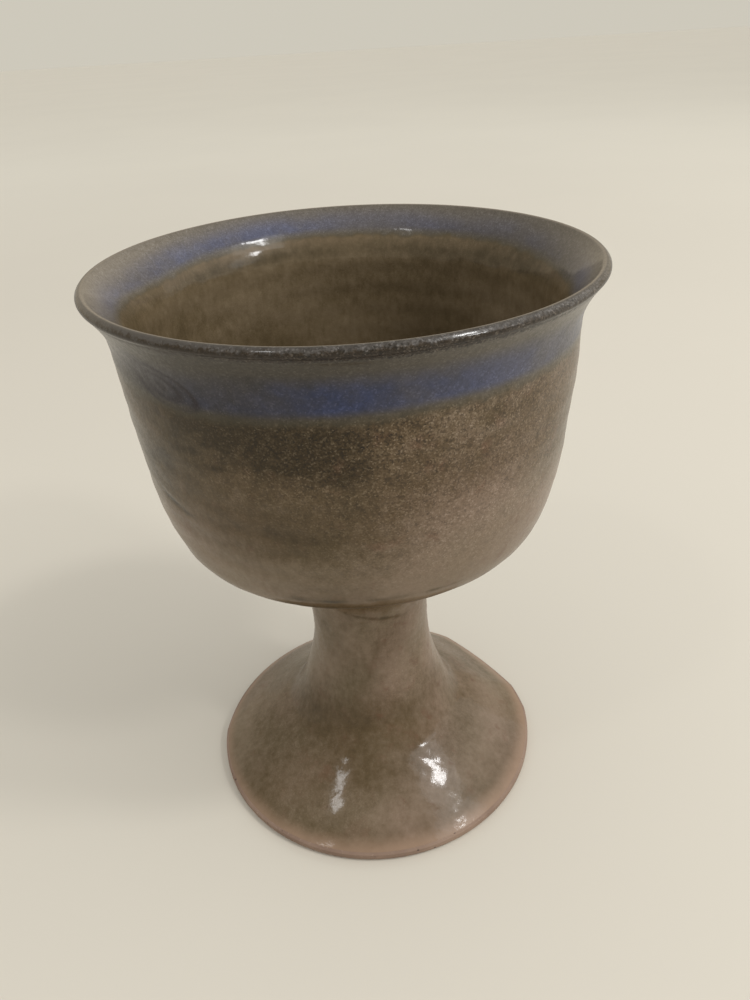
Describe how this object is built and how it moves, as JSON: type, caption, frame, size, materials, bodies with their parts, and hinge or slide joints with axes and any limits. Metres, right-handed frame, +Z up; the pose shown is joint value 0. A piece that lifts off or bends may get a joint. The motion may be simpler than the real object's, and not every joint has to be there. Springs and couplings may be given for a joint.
{
  "type": "stoneware goblet",
  "caption": "Wheel-thrown stoneware goblet: a deep flared bowl on a short hollow stem and flared foot, brown glazed, with a blue band dipped over the lip.",
  "frame": {"origin": "centre of the circle on which the foot ring stands", "axes": "+Z up along the axis of throwing, from the foot towards the lip; -Y is the side that the picture shows, and the foot's two flatter stretches lie 33 and 118 degrees from +X towards +Y"},
  "size_m": [0.11, 0.11, 0.1432],
  "materials": {
    "stoneware_clay": "fired bare stoneware, dry and fine-grained, toasted red-brown",
    "slip_clay": "fired slip, dry",
    "brown_glaze": "semi-gloss olive-brown glaze with fine pale speckle",
    "liner_glaze": "semi-gloss brown liner glaze with fine speckle",
    "cobalt_glaze": "glossy cobalt blue over brown, grey-olive where it thins towards the lip"
  },
  "bodies": {
    "root": {"bowl": "stoneware_clay", "pedestal": "stoneware_clay", "luting_slip": "slip_clay", "joint_collar": "stoneware_clay", "outer_glaze": "brown_glaze", "liner_glaze": "liner_glaze", "rim_glaze": "cobalt_glaze"}
  },
  "joints": []
}
